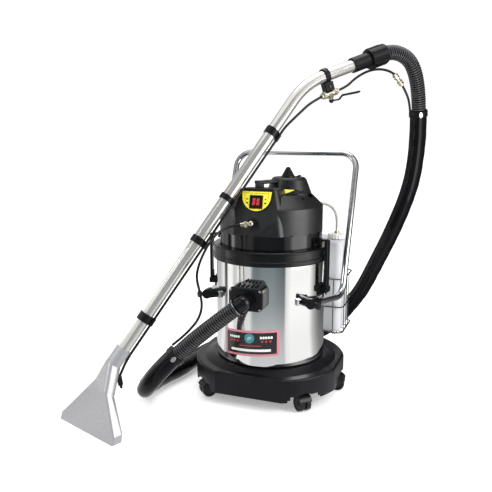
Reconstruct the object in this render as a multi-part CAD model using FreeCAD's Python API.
import FreeCAD, Part
import math
import os

# Wet-extraction carpet cleaner: castor dolly, polished steel tank, vacuum head, wire basket with a
# solution container, push handle, spray wand with floor head, vacuum hose and solution lines.
# Millimetres. Modelled about the tank axis: +X right, -Y front, +Z up, floor at z = 0.
# Every shape is moved to the frame's origin (middle of the footprint, on the floor) when written.

# ---------------------------------------------------------------- driving dimensions
TANK_R = 185.0
TANK_WALL = 1.5
TANK_BOTTOM_Z = 126.0
TANK_TOP_Z = 466.0

DOLLY_R = 256.0
DOLLY_FLAT_X = 246.0
DOLLY_FLAT_Y = 230.0
DOLLY_BOTTOM_Z = 40.0
DOLLY_RIM_Z = 114.0
DOLLY_WALL = 6.0

CASTOR_ANGLES = (-46.0, -134.0, 8.0, 172.0, 90.0)
CASTOR_STEM_R = 212.0
CASTOR_TRAIL = 24.0
WHEEL_R = 25.0
WHEEL_WIDTH = 16.0
AXLE_R = 3.0
STEM_R = 5.0
RUNNING_GAP = 0.05

RIM_R = 195.0
RIM_Z = (460.0, 506.0)
HEAD_R = 172.0
BAND_Z = (500.0, 553.0)
WALL_TOP_Z = 634.0
DOME_TOP_Z = 674.0
BOSS_TOP_Z = 696.0
HUMP_TOP_Z = 724.0
CONE_TOP_Z = 758.0
HUMP_CENTRE = (46.0, 48.0)
CARRY_HANDLE_TURN = 30.0

PANEL_Z = (628.0, 697.0)
PANEL_HALF_WIDTH = 53.0
BEZEL_Z = (639.0, 681.0)
BEZEL_HALF_WIDTH = 21.5
ROCKER_Z = (645.0, 676.0)
ROCKER_OFFSET = 9.0
ROCKER_HALF_WIDTH = 7.2
ROCKER_PIN_R = 1.5

INLET_CENTRE = (-2.0, 363.0)
INLET_BOX_CENTRE = (-4.0, 367.0)
INLET_SIZE = (112.0, 76.0)
INLET_FACE_Y = -240.0

HANDLE_TUBE_R = 11.0
HANDLE_HALF_WIDTH = 230.0
CLAMP_POINT = (179.0, -131.0, 342.0)
HANDLE_LOW = (HANDLE_HALF_WIDTH, 90.0, 317.0)
HANDLE_HIGH = (HANDLE_HALF_WIDTH, 292.0, 794.0)
HANDLE_BEND_R = 58.0

BASKET_HALF_X = 212.0
BASKET_Y = (196.0, 372.0)
BASKET_Z = (134.0, 345.0)
BASKET_WIRE_R = 2.5
BASKET_UPRIGHT_R = 1.6
FILLER = (168.0, 268.0)
CONTAINER_TOP_Z = 482.0

LATCH_ANGLES = (-10.0, -170.0)
LATCH_PIVOT = (205.0, 368.0)

WAND_FOOT = (-397.0, -514.0)
WAND_HEADING = 44.0
WAND_TUBE_R = 19.0
WAND_WALL = 1.5
WAND_BEND_R = 230.0
WAND_START = (93.4, 212.4)
WAND_ELBOW = (723.8, 1022.4)
WAND_LOWER_SLOPE = math.degrees(math.atan2(WAND_ELBOW[1] - WAND_START[1], WAND_ELBOW[0] - WAND_START[0]))
WAND_UPPER_SLOPE = 19.25
FLOOR_HEAD_WIDTH = 264.0
FLOOR_HEAD_HEADING = 20.0
WAND_JOINT = 664.0
WAND_UPPER_LENGTH = 226.0
WAND_BANDS = ((128.0, 26.0), (412.0, 22.0), (572.0, 18.0), (822.0, 24.0))
CUFF_START = 190.0
CUFF_LENGTH = 134.0
HOSE_SOCKET = 20.0
VALVE_DISTANCE = 80.0
VALVE_DROP = 58.0
LINE_OFFSET = 28.5
LEVER_TURN = 67.0

HOSE_R = 25.0
HOSE_BORE_R = 20.0
SLEEVE_R = 30.0
LINE_R = 4.0

# Hand-chosen route points of the free hoses and lines.
HOSE_ROUTE = [
    (-22, -271, 347), (-114, -290, 274), (-212, -307, 182), (-267, -341, 118), (-304, -333, 72),
    (-336, -293, 41), (-350, -233, 30), (-344, -160, 30), (-322, -86, 30), (-310, -6, 30),
    (-306, 80, 30), (-287, 172, 30), (-240, 260, 30), (-170, 332, 30), (-78, 386, 30),
    (22, 422, 36), (100, 440, 70), (158, 444, 130), (205, 443, 194), (249, 438, 260),
    (298, 430, 372), (336, 420, 455), (368, 411, 535), (397, 403, 615), (419, 398, 700),
    (429, 392, 785), (432, 382, 864), (431, 367, 936), (428, 350, 992), (422, 330, 1043),
    (411, 309, 1085), (393, 294, 1116), (366, 269, 1133), (332.7, 241.6, 1136.4), (305.2, 213.1, 1122.6),
]
STRAP_LOW = 2
STRAP_HIGH = 27
SUPPLY_ROUTE = [
    (-35, -201, 592), (-60, -214, 589), (-84, -238, 578), (-101, -267, 555), (-116, -291, 519),
    (-130, -303, 479), (-137, -306, 440), (-128, -300, 394), (-124, -292, 348), (-139, -291, 303),
    (-169, -293, 267), (-194, -296, 241),
    (-224.6, -302.3, 214.6),
]
RETURN_ROUTE = [(401.7, 350.4, 943.4), (399, 336, 974), (390, 319, 1003), (375, 301, 1031)]
FEED_ROUTE = [
    (349.4, 272.8, 1066.4), (334, 256, 1077), (303, 222, 1080.5), (271, 185, 1070.5), (239, 149, 1046),
    (215.5, 120.3, 1016.1), (193.2, 97.2, 1004.9),
]
OUTLET_X = -6.0
OUTLET_Y = -186.0
OUTLET_Z = 595.0
HEAD_TAIL = (60.0, 156.0, 610.0)
SUCTION_ROUTE = [
    (168, 268, 526), (169, 268, 568), (148, 262, 604), (106, 247, 617), (64, 228, 612), (60, 192, 610),
]

V = FreeCAD.Vector


# ---------------------------------------------------------------- small helpers
def cylinder(radius, height, base=(0, 0, 0), axis=(0, 0, 1)):
    return Part.makeCylinder(radius, height, V(*base), V(*axis))


def ring(outer, inner, height, base=(0, 0, 0), axis=(0, 0, 1)):
    return cylinder(outer, height, base, axis).cut(cylinder(inner, height, base, axis))


def block(low, high):
    size = [b - a for a, b in zip(low, high)]
    return Part.makeBox(size[0], size[1], size[2], V(*low))


def revolved(profile):
    """Solid of revolution about Z from (radius, z) corners."""
    corners = [V(radius, 0, z) for radius, z in profile]
    face = Part.Face(Part.makePolygon(corners + corners[:1]))
    return face.revolve(V(0, 0, 0), V(0, 0, 1), 360)


def rounded(shape, radius, picks):
    """Fillet the edges that the test picks."""
    edges = [edge for edge in shape.Edges if picks(edge)]
    return shape.makeFillet(radius, edges)


def at_height(z):
    return lambda edge: abs(edge.BoundBox.ZMin - z) < 0.01 and abs(edge.BoundBox.ZMax - z) < 0.01


def upright(edge):
    return edge.BoundBox.ZLength > 1 and edge.BoundBox.XLength < 0.01 and edge.BoundBox.YLength < 0.01


def fused(shapes):
    return shapes[0].multiFuse(shapes[1:]).removeSplitter()


def compound(shapes):
    return Part.makeCompound(shapes)


def about_z(shape, degrees):
    turned = shape.copy()
    turned.rotate(V(0, 0, 0), V(0, 0, 1), degrees)
    return turned


def mirrored_x(shape):
    return shape.mirror(V(0, 0, 0), V(1, 0, 0))


def rounded_section(centre, across, along, width, depth, corner):
    """Closed rounded rectangle; across and along are unit vectors of its plane."""
    centre = V(*centre) if not isinstance(centre, V) else centre
    half_w = width / 2 - corner
    half_d = depth / 2 - corner
    slant = corner * math.sqrt(0.5)
    edges = []
    corners = [(half_w, half_d, 1, 1), (-half_w, half_d, -1, 1),
               (-half_w, -half_d, -1, -1), (half_w, -half_d, 1, -1)]

    def place(x, y):
        return centre + across * x + along * y

    ends = []
    for index, (cx, cy, sx, sy) in enumerate(corners):
        first = place(cx + sx * corner, cy) if index % 2 == 0 else place(cx, cy + sy * corner)
        last = place(cx, cy + sy * corner) if index % 2 == 0 else place(cx + sx * corner, cy)
        middle = place(cx + sx * slant, cy + sy * slant)
        ends.append((first, middle, last))
    for index, (first, middle, last) in enumerate(ends):
        edges.append(Part.Arc(first, middle, last).toShape())
        following = ends[(index + 1) % 4][0]
        edges.append(Part.LineSegment(last, following).toShape())
    return Part.Wire(edges)


# ---------------------------------------------------------------- tubes along a route
def bend(before, corner, after, radius=None):
    """Tangent arc at one route point: its start, middle, end and radius."""
    back = before - corner
    ahead = after - corner
    turn = math.pi - back.getAngle(ahead)
    if radius is None:
        reach = 0.45 * min(back.Length, ahead.Length)
        radius = reach / math.tan(turn / 2)
    else:
        reach = radius * math.tan(turn / 2)
    start = corner + back.normalize() * reach
    end = corner + ahead.normalize() * reach
    inward = (start + end) * 0.5 - corner
    to_centre = radius / math.cos(turn / 2)
    middle = corner + inward.normalize() * (to_centre - radius)
    return start, middle, end, radius


def route_wire(points, radius=None):
    """Straight runs joined by tangent arcs through the route's corners."""
    corners = [V(*point) for point in points]
    edges = []
    radii = []
    last = corners[0]
    for before, corner, after in zip(corners, corners[1:], corners[2:]):
        start, middle, end, size = bend(before, corner, after, radius)
        edges.append(Part.LineSegment(last, start).toShape())
        edges.append(Part.Arc(start, middle, end).toShape())
        radii.append(size)
        last = end
    edges.append(Part.LineSegment(last, corners[-1]).toShape())
    return Part.Wire(edges), radii


def swept(wire, radius):
    first = wire.Edges[0]
    start = first.Vertexes[0].Point
    direction = first.tangentAt(first.FirstParameter)
    circle = Part.Wire(Part.Circle(start, direction, radius).toShape())
    return wire.makePipeShell([circle], True, False)


def tube(points, radius, bore=0.0, bend_radius=None, label=None):
    wire, radii = route_wire(points, bend_radius)
    solid = swept(wire, radius)
    if bore:
        solid = solid.cut(swept(wire, bore))
    if label:
        section = math.pi * (radius ** 2 - bore ** 2)
        ratio = solid.Volume / (section * wire.Length)
        print(label, "length", round(wire.Length), "volume ratio", round(ratio, 4),
              "radii", [round(size) for size in radii])
    return solid


# ---------------------------------------------------------------- wand frame
def heading(degrees):
    return V(math.sin(math.radians(degrees)), math.cos(math.radians(degrees)), 0)


def wand_point(reach, height):
    """Point of the wand's upright plane: reach along the floor, and height."""
    along = heading(WAND_HEADING) * reach
    return V(WAND_FOOT[0] + along.x, WAND_FOOT[1] + along.y, height)


def wand_axis(slope):
    return heading(WAND_HEADING) * math.cos(math.radians(slope)) + V(0, 0, math.sin(math.radians(slope)))


def wand_under(slope):
    """Unit vector square to the tube, towards its underside."""
    return heading(WAND_HEADING) * math.sin(math.radians(slope)) - V(0, 0, math.cos(math.radians(slope)))


def lower_tube_point(distance):
    """Centre of the lower tube, a distance up from its start."""
    return wand_point(*WAND_START) + wand_axis(WAND_LOWER_SLOPE) * distance


def upper_tube_point(distance):
    """Centre of the upper tube, a distance past the elbow's corner."""
    return wand_point(*WAND_ELBOW) + wand_axis(WAND_UPPER_SLOPE) * distance


SIDEWAYS = V(0, 0, 1).cross(heading(WAND_HEADING))


# ---------------------------------------------------------------- dolly and castors
def dolly_outline(inset, low, high):
    """Round plan with a flat front, back and sides."""
    body = cylinder(DOLLY_R - inset, high - low, (0, 0, low))
    half_x = DOLLY_FLAT_X - inset
    half_y = DOLLY_FLAT_Y - inset
    return body.common(block((-half_x, -half_y, low), (half_x, half_y, high)))


def castor_place(shape, angle):
    moved = shape.copy()
    moved.translate(V(CASTOR_STEM_R, 0, 0))
    return about_z(moved, angle)


def base_dolly():
    skirt = dolly_outline(0, DOLLY_BOTTOM_Z, DOLLY_RIM_Z)
    skirt = rounded(skirt, 7.0, at_height(DOLLY_RIM_Z))
    deck_rise = TANK_BOTTOM_Z - 0.5
    deck = revolved([(0, DOLLY_RIM_Z - 6), (232, DOLLY_RIM_Z - 6), (226, DOLLY_RIM_Z), (196, deck_rise),
                     (0, deck_rise)])
    deck = deck.common(block((-DOLLY_R, -214, 0), (DOLLY_R, 214, 200)))
    hollow = dolly_outline(DOLLY_WALL, DOLLY_BOTTOM_Z, DOLLY_RIM_Z - 8)
    well = cylinder(186, 20, (0, 0, 98))
    body = skirt.fuse(deck).cut(hollow).cut(well)
    boss = cylinder(14, DOLLY_RIM_Z - 64, (0, 0, 61))
    stem_hole = cylinder(STEM_R + RUNNING_GAP, 25, (0, 0, 60))
    arch_block = block((0, -51, 30), (50, 51, 58)).fuse(block((0, -60, 30), (50, 60, 47)))
    arch_block = arch_block.fuse(cylinder(42, 50, (0, 0, 22), (1, 0, 0)))
    arch_block = arch_block.common(block((0, -60, 30), (50, 60, 64)))
    for angle in CASTOR_ANGLES:
        body = body.fuse(castor_place(boss, angle))
        body = body.cut(castor_place(arch_block, angle))
        body = body.cut(castor_place(stem_hole, angle))
    rib = block((60, -2, DOLLY_RIM_Z - 24), (CASTOR_STEM_R - 10, 2, DOLLY_RIM_Z - 7))
    ribs = [about_z(rib, angle) for angle in CASTOR_ANGLES]
    hub = ring(62, 58, 17, (0, 0, DOLLY_RIM_Z - 24))
    return body.multiFuse(ribs + [hub]).removeSplitter()


def castor_fork(angle):
    wheel_z = WHEEL_R
    web = cylinder(19, 7, (CASTOR_TRAIL, -3.5, wheel_z), (0, 1, 0))
    neck = block((-9, -3.5, 34), (CASTOR_TRAIL, 3.5, 56))
    head = cylinder(11, 10, (0, 0, 50))
    stem = cylinder(STEM_R, 24, (0, 0, 60))
    hood = ring(30.5, 27.5, 42, (CASTOR_TRAIL, -21, wheel_z), (0, 1, 0))
    hood = hood.common(block((-10, -21, wheel_z + 12), (CASTOR_TRAIL + 27, 21, 60)))
    tie = block((CASTOR_TRAIL - 14, -3.5, 40), (CASTOR_TRAIL + 14, 3.5, wheel_z + 28.5))
    axle_hole = cylinder(AXLE_R + RUNNING_GAP, 9, (CASTOR_TRAIL, -4.5, wheel_z), (0, 1, 0))
    return castor_place(fused([web, neck, head, stem, hood, tie]).cut(axle_hole), angle)


def castor_wheels(angle):
    inner_face = 4.2
    axle = cylinder(AXLE_R, 2 * inner_face, (CASTOR_TRAIL, -inner_face, WHEEL_R), (0, 1, 0))
    wheel = cylinder(WHEEL_R, WHEEL_WIDTH, (CASTOR_TRAIL, inner_face, WHEEL_R), (0, 1, 0))
    wheel = wheel.makeFillet(2.5, [e for e in wheel.Edges if e.Length > 100 and e.BoundBox.YLength < 0.01])
    dish = ring(19, 8, 3, (CASTOR_TRAIL, inner_face + WHEEL_WIDTH - 3, WHEEL_R), (0, 1, 0))
    wheel = wheel.cut(dish)
    other = wheel.mirror(V(0, 0, 0), V(0, 1, 0))
    return castor_place(compound([axle, wheel, other]), angle)


# ---------------------------------------------------------------- tank
def tank_shell():
    wall = TANK_R - TANK_WALL
    outline = [(0, TANK_BOTTOM_Z), (TANK_R - 6, TANK_BOTTOM_Z),
               (TANK_R, TANK_BOTTOM_Z + 6), (TANK_R, TANK_TOP_Z),
               (wall, TANK_TOP_Z), (wall, TANK_BOTTOM_Z + 7), (TANK_R - 7, TANK_BOTTOM_Z + TANK_WALL),
               (0, TANK_BOTTOM_Z + TANK_WALL)]
    shell = revolved(outline)
    inlet_hole = cylinder(24.3, 40, (INLET_CENTRE[0], -200, INLET_CENTRE[1]), (0, 1, 0))
    return shell.cut(inlet_hole)


def rim_ring():
    low, high = RIM_Z
    return revolved([(TANK_R + 0.2, low), (RIM_R - 1, low), (RIM_R, low + 3), (RIM_R, low + 14),
                     (RIM_R - 2, low + 16), (RIM_R - 2, high - 9), (RIM_R, high - 7), (RIM_R, high - 3),
                     (RIM_R - 3, high), (HEAD_R + 0.6, high), (HEAD_R + 0.6, 496), (160, 496), (160, 488),
                     (TANK_R - 4, TANK_TOP_Z + 8), (TANK_R - 4, TANK_TOP_Z + 0.2),
                     (TANK_R + 0.2, TANK_TOP_Z + 0.2)])


def head_seal():
    seal = Part.makeTorus(166, 2.2, V(0, 0, 498.1))
    return seal.common(block((-200, -200, 496.05), (200, 200, 499.95)))


def inlet_box():
    half_x = INLET_SIZE[0] / 2
    half_z = INLET_SIZE[1] / 2
    x, z = INLET_BOX_CENTRE
    body = block((x - half_x, INLET_FACE_Y, z - half_z), (x + half_x, -140, z + half_z))
    body = rounded(body, 18, lambda e: e.BoundBox.YLength > 50)
    body = rounded(body, 7, lambda e: (abs(e.BoundBox.YMin - INLET_FACE_Y) < 0.01
                                       and e.BoundBox.YLength < 0.01))
    body = body.cut(cylinder(TANK_R + 0.2, 200, (0, 0, 260)))
    body = body.cut(block((x - half_x + 4, INLET_FACE_Y + 5, z - half_z + 4),
                          (x + half_x - 4, -188, z + half_z - 4)))
    ribs = [block((x + dx - 2, INLET_FACE_Y + 12, z + half_z - 1), (x + dx + 2, -200, z + half_z + 4))
            for dx in (-30, -15, 0, 15, 30)]
    body = body.multiFuse(ribs)
    spigot_hole = cylinder(24.3, 120, (INLET_CENTRE[0], INLET_FACE_Y - 10, INLET_CENTRE[1]), (0, 1, 0))
    return body.cut(spigot_hole).removeSplitter()


def inlet_collar():
    """Elbow that turns the hose down and to the left of the inlet."""
    x, z = INLET_CENTRE
    mouth, beyond = V(*HOSE_ROUTE[0]), V(*HOSE_ROUTE[1])
    back = (mouth - beyond).normalize()
    corner = mouth + back * 26
    start = (x, INLET_FACE_Y + 8, z)
    arm = (mouth - corner).normalize()
    outside = []
    inside = []
    for store, radius in ((outside, 24.2), (inside, HOSE_BORE_R)):
        store.append(cylinder(radius, abs(corner.y - start[1]), start, (0, -1, 0)))
        store.append(Part.makeSphere(radius, corner))
        store.append(cylinder(radius, 26.0, tuple(corner), tuple(arm)))
    flange = ring(31, 21, 6, (x, INLET_FACE_Y - 6.2, z), (0, 1, 0))
    lip = ring(HOSE_R + 4, HOSE_BORE_R, 7, tuple(mouth), tuple(back))
    return fused(outside + [flange, lip]).cut(fused(inside))


def inlet_deflector():
    """Spout inside the tank that throws the dirty water down."""
    x, z = INLET_CENTRE
    spigot = tube([(x, INLET_FACE_Y + 9, z), (x, -150, z), (x, -128, z - 60)], 23.5, 20.5, bend_radius=30.0)
    flange = ring(34, 22, 3, (x, -179, z), (0, 1, 0))
    return spigot.fuse(flange)


# ---------------------------------------------------------------- head
def front_slope():
    """Space in front of the sloping control face."""
    foot = V(0, -169, 575)
    rise = V(0, 28, 121)
    rise.normalize()
    outward = V(0, -rise.z, rise.y)
    corners = [foot - rise * 60 + V(-200, 0, 0), foot - rise * 60 + V(200, 0, 0),
               foot + rise * 200 + V(200, 0, 0), foot + rise * 200 + V(-200, 0, 0)]
    return Part.Face(Part.makePolygon(corners + corners[:1])).extrude(outward * 120)


def head_outside(grow):
    """Outer form of the head; a negative grow gives its inside."""
    radius = HEAD_R + grow
    dome = revolved([(0, BAND_Z[1]), (radius, BAND_Z[1]), (radius, WALL_TOP_Z + grow),
                     (radius - 4, WALL_TOP_Z + 5 + grow), (radius - 36, DOME_TOP_Z - 4 + grow),
                     (radius - 46, DOME_TOP_Z + grow), (0, DOME_TOP_Z + grow)])
    across, along = V(1, 0, 0), V(0, 1, 0)
    low = rounded_section((0, -92, BAND_Z[1]), across, along, 186 + 2 * grow, 154 + 2 * grow, 30)
    middle = rounded_section((0, -92, 640), across, along, 158 + 2 * grow, 136 + 2 * grow, 26)
    high = rounded_section((0, -97, BOSS_TOP_Z + grow), across, along, 126 + 2 * grow, 92 + 2 * grow, 18)
    boss = Part.makeLoft([low, middle, high], True, True)
    hump_x, hump_y = HUMP_CENTRE
    hump = Part.makeCone(92 + grow, 56 + grow, HUMP_TOP_Z + grow - 630, V(hump_x, hump_y, 630))
    return dome, boss, hump


def head_shell():
    dome, boss, hump = head_outside(0)
    hump = rounded(hump, 16, at_height(HUMP_TOP_Z))
    boss = rounded(boss, 5, at_height(BOSS_TOP_Z))
    body = fused([dome, boss, hump]).cut(front_slope())
    shoulder = cylinder(46, 60, (96, -6, 655))
    body = body.cut(shoulder.cut(hump).cut(boss))
    inner_dome, inner_boss, inner_hump = head_outside(-5.0)
    wall_behind_panel = front_slope()
    wall_behind_panel.translate(V(0, 6, 0))
    inside = fused([inner_dome, inner_boss, inner_hump]).cut(wall_behind_panel)
    inside = inside.cut(cylinder(51, 100, (96, -6, 650)))
    body = body.cut(inside)
    window = block((-25, -175, 632), (25, -115, 684))
    body = body.cut(window)
    body = body.cut(cylinder(8.2, 30, (OUTLET_X, -185, OUTLET_Z), (0, 1, 0)))
    body = body.cut(cylinder(6.2, 40, (HEAD_TAIL[0], HEAD_TAIL[1] - 10, HEAD_TAIL[2]), (0, 1, 0)))
    body = body.cut(cylinder(9.2, 40, (-60, 140, 590), (0, 1, 0)))
    body = body.cut(cylinder(4, 40, (118, -62, 640), (0.3, -0.2, 1)))
    return body


def head_band():
    low, high = BAND_Z
    body = ring(HEAD_R, HEAD_R - 6, high - low, (0, 0, low))
    ledge = ring(HEAD_R - 5, 158, 4, (0, 0, low))
    lug = block((HEAD_R - 2, -13, 518), (HEAD_R + 9, 13, 526))
    lugs = [about_z(lug, angle) for angle in LATCH_ANGLES]
    return fused([body, ledge] + lugs)


def motor_plate():
    plate = cylinder(HEAD_R - 6.2, 4, (0, 0, 546))
    support = ring(HEAD_R - 6.2, HEAD_R - 12, 42, (0, 0, 504.2))
    plate = plate.fuse(support)
    plate = plate.cut(cylinder(18, 10, (0, 0, 544)))
    return plate


def motor_housing():
    body = ring(72, 68, 74, (0, 0, 550.2))
    lid = cylinder(72, 5, (0, 0, 624.2)).cut(cylinder(6 + RUNNING_GAP, 10, (0, 0, 622)))
    floor = ring(72, 28, 4, (0, 0, 550.2))
    vents = [about_z(block((60, -5, 588), (80, 5, 612)), 45 * step) for step in range(8)]
    return fused([body, lid, floor]).cut(compound(vents))


def motor_rotor():
    fan = cylinder(60, 3, (0, 0, 558))
    blades = [about_z(block((14, -1, 561), (58, 1, 572)), 40 * step) for step in range(9)]
    armature = cylinder(38, 36, (0, 0, 580))
    shaft = cylinder(6, 76, (0, 0, 556))
    return fused([fan, armature, shaft] + blades)


def solution_pump():
    body = block((88, 10, 550.2), (128, 66, 590))
    body = rounded(body, 5, upright)
    head = cylinder(20, 26, (108, 66, 571), (0, 1, 0))
    return fused([body, head])


def float_cage():
    tubes = ring(36, 32, 62, (0, 0, 483.8))
    slots = [about_z(block((20, -9, 490), (50, 9, 534)), 45 * step) for step in range(4)]
    slots += [about_z(slot, 180) for slot in slots]
    base = ring(36, 8, 4, (0, 0, 480))
    return fused([tubes.cut(compound(slots)), base])


def float_ball():
    return Part.makeSphere(24, V(0, 0, 508.6))


def face_plate(low_z, high_z, half_top, depth):
    """Plate lying on the sloping control face: flat top, round bottom."""
    side = half_top
    drop = high_z - low_z
    outline = [V(-side, 0, high_z), V(-side * 0.93, 0, high_z - drop * 0.42), V(0, 0, low_z),
               V(side * 0.93, 0, high_z - drop * 0.42), V(side, 0, high_z)]
    left = Part.LineSegment(outline[0], outline[1]).toShape()
    bowl = Part.Arc(outline[1], outline[2], outline[3]).toShape()
    right = Part.LineSegment(outline[3], outline[4]).toShape()
    top = Part.LineSegment(outline[4], outline[0]).toShape()
    return Part.Face(Part.Wire([left, bowl, right, top])).extrude(V(0, -depth, 0))


def on_front_slope(shape):
    """Lean an upright piece, drawn at y = 0 with its foot height kept, onto the control face."""
    slope = math.degrees(math.atan2(28, 121))
    leaned = shape.copy()
    leaned.rotate(V(0, 0, 575), V(1, 0, 0), -slope)
    leaned.translate(V(0, -169, 0))
    return leaned


def control_panel():
    plate = face_plate(*PANEL_Z, PANEL_HALF_WIDTH, 2.2)
    gap = 0.2
    half = BEZEL_HALF_WIDTH + gap
    plate = plate.cut(block((-half, -10, BEZEL_Z[0] - gap), (half, 10, BEZEL_Z[1] + gap)))
    lifted = on_front_slope(plate)
    lifted.translate(V(0, -0.1, 0))
    return lifted


def switch_bezel():
    body = block((-BEZEL_HALF_WIDTH, -5, BEZEL_Z[0]), (BEZEL_HALF_WIDTH, 9, BEZEL_Z[1]))
    for side in (-1, 1):
        centre = side * ROCKER_OFFSET
        low = ROCKER_Z[0] - 1.5
        high = ROCKER_Z[1] + 1.5
        half = ROCKER_HALF_WIDTH + 0.4
        window = block((centre - half, -6, low), (centre + half, 10, high))
        body = body.cut(window).cut(rocker_pin(side, 0.8, ROCKER_PIN_R + RUNNING_GAP))
    return on_front_slope(body)


def rocker_axis_z():
    return (ROCKER_Z[0] + ROCKER_Z[1]) / 2


def rocker_pin(side, reach, radius):
    """Pivot pin of one rocker, reaching into the bezel on both sides."""
    half = ROCKER_HALF_WIDTH + reach
    return cylinder(radius, 2 * half, (side * ROCKER_OFFSET - half, 1, rocker_axis_z()), (1, 0, 0))


def rocker(side):
    centre = side * ROCKER_OFFSET
    key = block((centre - ROCKER_HALF_WIDTH, -6.5, ROCKER_Z[0]), (centre + ROCKER_HALF_WIDTH, 4, ROCKER_Z[1]))
    key = rounded(key, 1.2, lambda e: e.BoundBox.ZLength > 20)
    key.rotate(V(0, 1, rocker_axis_z()), V(1, 0, 0), 6)
    return on_front_slope(key.fuse(rocker_pin(side, 0.7, ROCKER_PIN_R)))


def cone_cap():
    x, y = 50, 24
    profile = [(0, HUMP_TOP_Z + 0.1), (22, HUMP_TOP_Z + 0.1), (22, HUMP_TOP_Z + 4), (7, CONE_TOP_Z - 3),
               (4, CONE_TOP_Z), (0, CONE_TOP_Z)]
    cone = revolved(profile)
    cone.translate(V(x, y, 0))
    return cone


def carry_handle():
    """Slotted grip from the control boss back to the rear hump, with hand room below it."""
    left, right = -44.0, -6.0
    front, rear = -62.0, 28.0
    bottom, top = 706.0, 717.0
    grip = block((left, front, bottom), (right, rear, top))
    grip = rounded(grip, 4, lambda e: e.BoundBox.YLength > 50)
    slots = [block((x, front + 16, bottom - 1), (x + 5, rear - 22, top + 1)) for x in (-36, -27.5, -19)]
    grip = grip.cut(compound(slots))
    foot = block((left + 3, front, BOSS_TOP_Z + 0.1), (right - 3, front + 12, bottom + 1))
    back_foot = block((left + 3, rear - 12, 640), (right - 3, rear, bottom + 1))
    handle = fused([grip, foot, back_foot])
    handle.rotate(V((left + right) / 2, front, 0), V(0, 0, 1), -CARRY_HANDLE_TURN)
    dome, _, hump = head_outside(0.1)
    return handle.cut(hump).cut(dome)


def supply_outlet():
    """Brass quick connector of the solution line on the head's front."""
    start = V(*SUPPLY_ROUTE[0])
    corner = V(OUTLET_X, OUTLET_Y, OUTLET_Z)
    way = (start - corner).normalize()
    shank = cylinder(8, 22, (OUTLET_X, OUTLET_Y, OUTLET_Z), (0, 1, 0))
    flange = cylinder(12, 3, (OUTLET_X, -173, OUTLET_Z), (0, 1, 0))
    body = Part.makeSphere(9.5, corner)
    nut = cylinder(9, 9, tuple(corner + way * 12), tuple(way))
    spigot = cylinder(6, (start - corner).Length, tuple(corner), tuple(way))
    return fused([shank, flange, body, nut, spigot])


def mains_gland():
    body = cylinder(9, 20, (-60, 146, 590), (0, 1, 0))
    nut = cylinder(13, 7, (-60, 167, 590), (0, 1, 0))
    tail = cylinder(8, 16, (-60, 170, 590), (0, 1, 0))
    cord_hole = cylinder(4, 60, (-60, 140, 590), (0, 1, 0))
    return fused([body, nut, tail]).cut(cord_hole)


# ---------------------------------------------------------------- latches


def latch(angle):
    pivot_r, pivot_z = LATCH_PIVOT
    bar = block((pivot_r - 6, -11, pivot_z - 10), (pivot_r + 6, 11, 530))
    bar = rounded(bar, 3, lambda e: e.BoundBox.ZLength > 100)
    hook = block((HEAD_R + 0.6, -10, 527), (pivot_r, 10, 533))
    inner_relief = block((pivot_r - 8, -12, 400), (pivot_r - 3, 12, 500))
    pin_hole = cylinder(3 + RUNNING_GAP, 30, (pivot_r, -15, pivot_z), (0, 1, 0))
    body = fused([bar, hook]).cut(inner_relief).cut(pin_hole)
    return about_z(body, angle)


def latch_brackets():
    pivot_r, pivot_z = LATCH_PIVOT
    parts = []
    for angle in LATCH_ANGLES:
        pad = block((176, -18, pivot_z - 18), (192, 18, pivot_z + 18))
        pad = pad.cut(cylinder(TANK_R + 0.15, 200, (0, 0, 300)))
        ear = block((186, 12, pivot_z - 9), (pivot_r + 7, 17, pivot_z + 9))
        other_ear = ear.mirror(V(0, 0, 0), V(0, 1, 0))
        pin = cylinder(3, 33, (pivot_r, -16.5, pivot_z), (0, 1, 0))
        parts.append(about_z(fused([pad, ear, other_ear, pin]), angle))
    return compound(parts)


# ---------------------------------------------------------------- push handle
def handle_route():
    right = [CLAMP_POINT, HANDLE_LOW, HANDLE_HIGH]
    left = [(-x, y, z) for x, y, z in reversed(right)]
    return right + left


def push_handle():
    return tube(handle_route(), HANDLE_TUBE_R, 9.5, bend_radius=HANDLE_BEND_R, label="push_handle")


def handle_clamps():
    x, y, z = CLAMP_POINT
    along = V(*HANDLE_LOW) - V(*CLAMP_POINT)
    along.normalize()
    sleeve_base = V(*CLAMP_POINT) - along * 12
    sleeve = cylinder(16, 46, tuple(sleeve_base), tuple(along))
    outward = V(x, y, 0)
    outward.normalize()
    inner = V(x, y, z) - outward * 50
    foot = cylinder(15, 52, tuple(inner), tuple(outward))
    knob = cylinder(11, 12, tuple(V(x, y, z) + outward * 20), tuple(outward))
    neck = cylinder(6, 26, tuple(V(x, y, z) + outward * 8), tuple(outward))
    clamp = fused([sleeve, foot, neck, knob]).cut(cylinder(TANK_R + 0.15, 200, (0, 0, 240)))
    tube_space = cylinder(HANDLE_TUBE_R + 0.1, 60, tuple(V(*CLAMP_POINT) - along * 0.2), tuple(along))
    clamp = clamp.cut(tube_space)
    return compound([clamp, mirrored_x(clamp)])


# ---------------------------------------------------------------- basket and container
def basket_loop(inset, z):
    x = BASKET_HALF_X - inset
    front, rear = BASKET_Y[0] + inset, BASKET_Y[1] - inset
    wire = rounded_section((0, (front + rear) / 2, z), V(1, 0, 0), V(0, 1, 0), 2 * x, rear - front, 22)
    first = wire.Edges[0]
    circle = Part.Circle(first.Vertexes[0].Point, first.tangentAt(first.FirstParameter), BASKET_WIRE_R)
    return wire.makePipeShell([Part.Wire(circle.toShape())], True, False)


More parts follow.
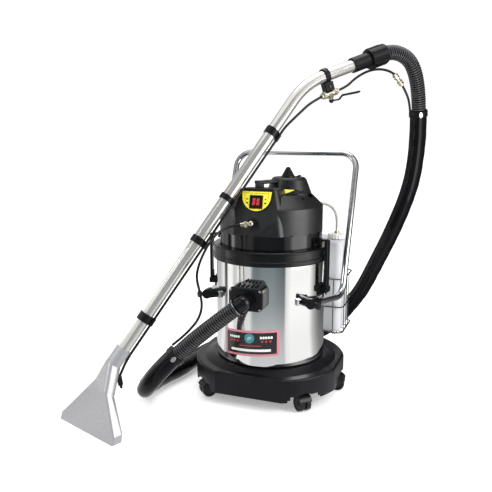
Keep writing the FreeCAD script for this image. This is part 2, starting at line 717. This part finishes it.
def basket_wires(x_positions, y_ends, turn_in):
    """Upright wires inside the loops, turned under the container as the basket's floor."""
    low, high = BASKET_Z
    front, rear = y_ends
    ends = [(front, high), (front, low), (rear, low), (rear, high)]
    wires = []
    for across in x_positions:
        points = [(y, across, z) if turn_in else (across, y, z) for y, z in ends]
        wires.append(tube(points, BASKET_UPRIGHT_R, bend_radius=7.0))
    return wires


def wire_basket():
    low, high = BASKET_Z
    inset = BASKET_WIRE_R + BASKET_UPRIGHT_R - 0.6
    loops = [basket_loop(0, z) for z in (low + 8, (low + high) / 2, high)]
    front_rear = basket_wires([step * 44.0 for step in range(-4, 5)],
                              (BASKET_Y[0] + inset, BASKET_Y[1] - inset), False)
    side_y = (BASKET_Y[0] + BASKET_Y[1]) / 2
    sides = basket_wires([side_y + step * 42.0 for step in (-1, 0, 1)],
                         (-BASKET_HALF_X + inset, BASKET_HALF_X - inset), True)
    hooks = []
    for x in (-150, 150):
        points = [(x, BASKET_Y[0] - 1, high - 60), (x, BASKET_Y[0] - 1, high + 9), (x * 0.95, 122, high + 9)]
        hooks.append(tube(points, BASKET_WIRE_R, bend_radius=8.0))
    return fused(loops + front_rear + sides + hooks).cut(cylinder(TANK_R + 0.1, 300, (0, 0, 200)))


def solution_container():
    inset = 11
    low = BASKET_Z[0] + 6
    top = CONTAINER_TOP_Z
    front, rear = BASKET_Y[0] + inset, BASKET_Y[1] - inset
    half_x = BASKET_HALF_X - inset
    body = block((-half_x, front, low), (half_x, rear, top))
    body = rounded(body, 22, upright)
    body = rounded(body, 10, lambda e: at_height(top)(e) or at_height(low)(e))
    inside = block((-half_x + 3, front + 3, low + 3), (half_x - 3, rear - 3, top - 3))
    inside = rounded(inside, 19, upright)
    neck = cylinder(26, 20, (FILLER[0], FILLER[1], top - 4))
    mouth = cylinder(22, 40, (FILLER[0], FILLER[1], top - 10))
    return body.fuse(neck).cut(inside).cut(mouth)


def container_cap():
    top = CONTAINER_TOP_Z
    x, y = FILLER
    body = cylinder(30, 16, (x, y, top + 4))
    grips = [cylinder(2, 16, (x + 30 * math.cos(a * math.pi / 9),
                              y + 30 * math.sin(a * math.pi / 9), top + 4))
             for a in range(18)]
    body = fused([body] + grips)
    body = body.cut(cylinder(26.2, 13.4, (x, y, top + 3)))
    return body.cut(cylinder(5.1, 30, (x, y, top)))


def suction_fittings():
    """Brass tail on the container's cap with its pick-up tube, and the tail on the head."""
    top = CONTAINER_TOP_Z
    x, y = FILLER
    pickup = ring(5, 3, top + 44 - 160, (x, y, 160))
    nut = ring(9, 4, 8, (x, y, top + 20.1))
    head_tail = ring(6, 3, 36, HEAD_TAIL, (0, 1, 0))
    head_nut = ring(10, 5, 6, (HEAD_TAIL[0], HEAD_TAIL[1] + 20, HEAD_TAIL[2]), (0, 1, 0))
    return compound([pickup.fuse(nut), head_tail.fuse(head_nut)])


# ---------------------------------------------------------------- wand
def wand_lower_tube():
    start = wand_point(*WAND_START)
    axis = wand_axis(WAND_LOWER_SLOPE)
    return ring(WAND_TUBE_R, WAND_TUBE_R - WAND_WALL, WAND_JOINT, tuple(start), tuple(axis))


def wand_upper_tube():
    bottom = lower_tube_point(WAND_JOINT + 0.1)
    elbow = wand_point(*WAND_ELBOW)
    end = upper_tube_point(WAND_UPPER_LENGTH)
    return tube([tuple(bottom), tuple(elbow), tuple(end)], WAND_TUBE_R, WAND_TUBE_R - WAND_WALL,
                bend_radius=WAND_BEND_R, label="wand_upper_tube")


def wand_bands():
    """Black bands that join the tubes and clip the spray line to them."""
    axis = wand_axis(WAND_LOWER_SLOPE)
    under = wand_under(WAND_LOWER_SLOPE)
    bands = []
    for distance, length in WAND_BANDS:
        centre = lower_tube_point(distance)
        band = cylinder(WAND_TUBE_R + 3.2, length, tuple(centre), tuple(axis))
        clip = cylinder(LINE_R + 2.2, length, tuple(centre + under * LINE_OFFSET), tuple(axis))
        band = band.fuse(clip)
        band = band.cut(cylinder(WAND_TUBE_R + 0.05, length + 4, tuple(centre - axis * 2), tuple(axis)))
        line_base = centre - axis * 2 + under * LINE_OFFSET
        band = band.cut(cylinder(LINE_R + 0.15, length + 4, tuple(line_base), tuple(axis)))
        bands.append(band)
    return compound(bands)


def wand_cuff():
    """Soft cuff over the tube's end: grip sleeve, stepped collar and hose socket."""
    axis = wand_axis(WAND_UPPER_SLOPE)
    base = upper_tube_point(CUFF_START)
    sections = [(0, 24.5, 76), (68, 33.0, 66), (130, HOSE_R + 3, CUFF_LENGTH - 130)]
    body = fused([cylinder(radius, length, tuple(base + axis * offset), tuple(axis))
                  for offset, radius, length in sections])
    ribs = []
    for step in range(10):
        turn = step * 36
        rib = cylinder(3, 54, tuple(base + axis * 74), tuple(axis))
        rib.translate(SIDEWAYS * 32.5)
        rib.rotate(base, axis, turn)
        ribs.append(rib)
    body = body.multiFuse(ribs)
    tube_depth = WAND_UPPER_LENGTH - CUFF_START + 0.2
    tube_socket = cylinder(WAND_TUBE_R + 0.05, tube_depth, tuple(base - axis * 0.1), tuple(axis))
    through = cylinder(HOSE_BORE_R - 2, CUFF_LENGTH + 10, tuple(base), tuple(axis))
    hose_base = base + axis * (CUFF_LENGTH - HOSE_SOCKET)
    hose_socket = cylinder(HOSE_R + 0.1, HOSE_SOCKET + 1, tuple(hose_base), tuple(axis))
    return body.cut(tube_socket).cut(through).cut(hose_socket).removeSplitter()


def valve_frame():
    axis = wand_axis(WAND_UPPER_SLOPE)
    under = wand_under(WAND_UPPER_SLOPE)
    return upper_tube_point(VALVE_DISTANCE), axis, under


def square_block(centre, axis, under, length, width, depth):
    """Block with its length along axis and its depth along under."""
    across = axis.cross(under)
    half = [axis * (length / 2), across * (width / 2), under * (depth / 2)]
    corner = centre - half[0] - half[1] - half[2]
    corners = [corner, corner + half[0] * 2, corner + half[0] * 2 + half[1] * 2, corner + half[1] * 2]
    return Part.Face(Part.makePolygon(corners + corners[:1])).extrude(half[2] * 2)


def valve_clamp():
    centre, axis, under = valve_frame()
    band = cylinder(24, 15, tuple(centre - axis * 7.5), tuple(axis))
    saddle = square_block(centre + under * 34, axis, under, 34, 26, 26)
    saddle = rounded(saddle, 3, lambda e: abs(e.Length - 26) < 0.01)
    body = band.fuse(saddle)
    body = body.cut(cylinder(WAND_TUBE_R + 0.05, 80, tuple(centre - axis * 40), tuple(axis)))
    across = axis.cross(under)
    screw_hole = cylinder(2.6, 40, tuple(centre + under * 36 - across * 20), tuple(across))
    return body.cut(screw_hole)


def valve_body():
    centre, axis, under = valve_frame()
    middle = centre + under * VALVE_DROP
    barrel = cylinder(10, 34, tuple(middle - axis * 17), tuple(axis))
    nuts = [cylinder(12, 8, tuple(middle + axis * offset), tuple(axis)) for offset in (-25, 17)]
    tails = [cylinder(7, 8, tuple(middle + axis * offset), tuple(axis)) for offset in (-33, 25)]
    neck = cylinder(7, 19, tuple(middle), tuple(under))
    spindle = cylinder(3.5, 29.8, tuple(middle), tuple(under))
    return fused([barrel, neck, spindle] + nuts + tails)


def valve_lever():
    centre, axis, under = valve_frame()
    hub_centre = centre + under * (VALVE_DROP + 19.4)
    hub = cylinder(8, 7, tuple(hub_centre), tuple(under))
    turn = math.radians(LEVER_TURN)
    way = axis * math.cos(turn) - axis.cross(under) * math.sin(turn)
    near = square_block(hub_centre + under * 4.5 + way * 16, way, under, 32, 12, 3.5)
    knee = centre + under * (VALVE_DROP + 23.9) + way * 30
    raised = knee + way * 16 - under * 11
    rise = raised - knee
    rise_length = rise.Length
    rise.normalize()
    link_under = rise.cross(way.cross(under))
    link = square_block((knee + raised) * 0.5, rise, link_under, rise_length + 4, 12, 3.5)
    far = square_block(raised + way * 31, way, under, 64, 13, 5)
    body = fused([hub, near, link, far])
    return body.cut(cylinder(3.5 + RUNNING_GAP, 30, tuple(hub_centre - under * 5), tuple(under)))


def valve_port(sign):
    centre, axis, under = valve_frame()
    return centre + under * VALVE_DROP + axis * (33 * sign)


def wand_line_route():
    """Spray line from the valve down the wand's underside to the jet."""
    under = wand_under(WAND_LOWER_SLOPE)
    start = valve_port(-1)
    hanging = [tuple(wand_point(742, 960)), tuple(wand_point(684, 912))]
    upper_clip = lower_tube_point(WAND_BANDS[-1][0] + 54) + under * LINE_OFFSET
    lower_clip = lower_tube_point(6) + under * LINE_OFFSET
    jet = jet_point()
    return [tuple(start)] + hanging + [tuple(upper_clip), tuple(lower_clip), tuple(jet)]


def jet_point():
    return lower_tube_point(-50) + wand_under(WAND_LOWER_SLOPE) * (LINE_OFFSET + 12)


def wand_line():
    return tube(wand_line_route(), LINE_R, 2.5, label="wand_line")


def floor_head():
    """Flared suction head: a wide slot on the floor that narrows up to the wand's tube."""
    across = V(0, 0, 1).cross(heading(FLOOR_HEAD_HEADING)) * -1
    depth_way = heading(FLOOR_HEAD_HEADING)
    lip = V(WAND_FOOT[0], WAND_FOOT[1], 0)
    neck = wand_point(*WAND_START)
    axis = wand_axis(WAND_LOWER_SLOPE)
    neck_along = axis.cross(SIDEWAYS)

    def hollow_loft(thinner):
        low = rounded_section(lip, across, depth_way, FLOOR_HEAD_WIDTH - thinner, 36 - thinner, 7)
        skirt = rounded_section(lip + V(3, 4, 22), across, depth_way,
                                FLOOR_HEAD_WIDTH - 6 - thinner, 38 - thinner, 8)
        waist = rounded_section(lip * 0.36 + (neck - axis * 24) * 0.64, SIDEWAYS * -1, neck_along * -1,
                                124 - thinner, 42 - thinner, 16)
        top = rounded_section(neck - axis * 24, SIDEWAYS * -1, neck_along * -1,
                              46 - thinner, 46 - thinner, 18)
        return Part.makeLoft([low, skirt, waist, top], True, True)

    shell = hollow_loft(0)
    socket = cylinder(23.5, 56, tuple(neck - axis * 26), tuple(axis))
    body = shell.fuse(socket)
    inner = hollow_loft(7)
    body = body.cut(inner)
    body = body.cut(cylinder(WAND_TUBE_R + 0.05, 60, tuple(neck - axis * 0.1), tuple(axis)))
    return body.cut(cylinder(WAND_TUBE_R - 2, 60, tuple(neck - axis * 40), tuple(axis)))


def floor_jet():
    """Black nozzle body behind the head, aimed at the floor in front of the slot."""
    point = jet_point()
    down = V(0, 0, -1)
    aim = (down + heading(WAND_HEADING) * 0.15).normalize()
    body = cylinder(8, 26, tuple(point - aim * 2), tuple(aim))
    nozzle = Part.makeCone(6, 3.5, 12, point + aim * 24, aim)
    inlet = cylinder(6.5, 9, tuple(point), tuple((lower_tube_point(-46) - point).normalize()))
    line_socket = swept(route_wire(wand_line_route()[-3:])[0], LINE_R + RUNNING_GAP)
    return fused([body, nozzle, inlet]).cut(line_socket)


# ---------------------------------------------------------------- hose and lines
def hose_span(first, last):
    return HOSE_ROUTE[first:last + 1]


def vacuum_hose():
    return tube(HOSE_ROUTE, HOSE_R, HOSE_BORE_R, label="vacuum_hose")


def route_piece(wire, start, length):
    """Part of a route's wire, measured along it."""
    edges = []
    travelled = 0.0
    for edge in wire.Edges:
        low = max(start - travelled, 0.0)
        high = min(start + length - travelled, edge.Length)
        if high - low > 0.01:
            first = edge.getParameterByLength(low)
            last = edge.getParameterByLength(high)
            edges.append(edge.Curve.toShape(first, last))
        travelled += edge.Length
    return Part.Wire(edges)


def hose_station(index):
    """Distance along the hose at which it passes a route point."""
    wire, _ = route_wire(HOSE_ROUTE)
    arc = wire.Edges[2 * index - 1]
    return sum(edge.Length for edge in wire.Edges[:2 * index - 1]) + arc.Length / 2


def hose_sleeve():
    """Smooth cover that holds the hose and the solution line together between the straps."""
    wire, _ = route_wire(HOSE_ROUTE)
    start = hose_station(STRAP_LOW) + 12
    end = hose_station(STRAP_HIGH) - 12
    run = route_piece(wire, start, end - start)
    return swept(run, SLEEVE_R).cut(swept(run, HOSE_R + 0.1))


def hose_straps():
    wire, _ = route_wire(HOSE_ROUTE)
    straps = []
    for index in (STRAP_LOW, STRAP_HIGH):
        piece = route_piece(wire, hose_station(index) - 11.9, 23.8)
        straps.append(swept(piece, SLEEVE_R + 6).cut(swept(piece, HOSE_R + 0.1)))
    return compound(straps)


def supply_line():
    return tube(SUPPLY_ROUTE, LINE_R, label="supply_line")


def return_line():
    return tube(RETURN_ROUTE, LINE_R, label="return_line")


def line_coupler():
    start, end = V(*RETURN_ROUTE[-1]), V(*FEED_ROUTE[0])
    way = (end - start).normalize()
    span = (end - start).Length
    body = cylinder(7, span, tuple(start), tuple(way))
    collars = [cylinder(9, 9, tuple(start + way * offset), tuple(way)) for offset in (4, span - 15)]
    return fused([body] + collars)


def feed_line():
    return tube(FEED_ROUTE, LINE_R, label="feed_line")


def suction_hose():
    return tube(SUCTION_ROUTE, 5.0, 3.4, label="suction_hose")


# ---------------------------------------------------------------- all pieces
PIECES = {
    "base_dolly": base_dolly,
    "tank_shell": tank_shell,
    "rim_ring": rim_ring,
    "head_seal": head_seal,
    "head_band": head_band,
    "head_shell": head_shell,
    "motor_plate": motor_plate,
    "motor_housing": motor_housing,
    "motor_rotor": motor_rotor,
    "solution_pump": solution_pump,
    "float_cage": float_cage,
    "float_ball": float_ball,
    "control_panel": control_panel,
    "switch_bezel": switch_bezel,
    "vacuum_switch": lambda: rocker(-1),
    "pump_switch": lambda: rocker(1),
    "cone_cap": cone_cap,
    "carry_handle": carry_handle,
    "supply_outlet": supply_outlet,
    "mains_gland": mains_gland,
    "inlet_box": inlet_box,
    "inlet_collar": inlet_collar,
    "inlet_deflector": inlet_deflector,
    "latch_right": lambda: latch(LATCH_ANGLES[0]),
    "latch_left": lambda: latch(LATCH_ANGLES[1]),
    "latch_brackets": latch_brackets,
    "push_handle": push_handle,
    "handle_clamps": handle_clamps,
    "wire_basket": wire_basket,
    "solution_container": solution_container,
    "container_cap": container_cap,
    "suction_fittings": suction_fittings,
    "wand_lower_tube": wand_lower_tube,
    "wand_upper_tube": wand_upper_tube,
    "wand_bands": wand_bands,
    "wand_cuff": wand_cuff,
    "valve_clamp": valve_clamp,
    "valve_body": valve_body,
    "valve_lever": valve_lever,
    "wand_line": wand_line,
    "floor_head": floor_head,
    "floor_jet": floor_jet,
}
for number, castor_angle in enumerate(CASTOR_ANGLES, start=1):
    PIECES[f"castor_fork_{number}"] = lambda angle=castor_angle: castor_fork(angle)
    PIECES[f"castor_wheels_{number}"] = lambda angle=castor_angle: castor_wheels(angle)

FREE_LINES = {
    "vacuum_hose": vacuum_hose,
    "hose_sleeve": hose_sleeve,
    "hose_straps": hose_straps,
    "supply_line": supply_line,
    "return_line": return_line,
    "line_coupler": line_coupler,
    "feed_line": feed_line,
    "suction_hose": suction_hose,
}


def frame_origin(shapes):
    """Middle of the footprint of everything but the free hoses and lines, on the floor."""
    box = compound(shapes).optimalBoundingBox(True, False)
    return V(round(box.Center.x, 1), round(box.Center.y, 1), 0)


def main():
    os.makedirs("parts", exist_ok=True)
    solids = {name: make() for name, make in PIECES.items()}
    origin = frame_origin(list(solids.values()))
    print("origin in tank frame", origin)
    solids.update({name: make() for name, make in FREE_LINES.items()})
    for name, shape in solids.items():
        shape.translate(origin * -1)
        shape.exportStep(f"parts/{name}.step")


if __name__ == "__main__":
    main()
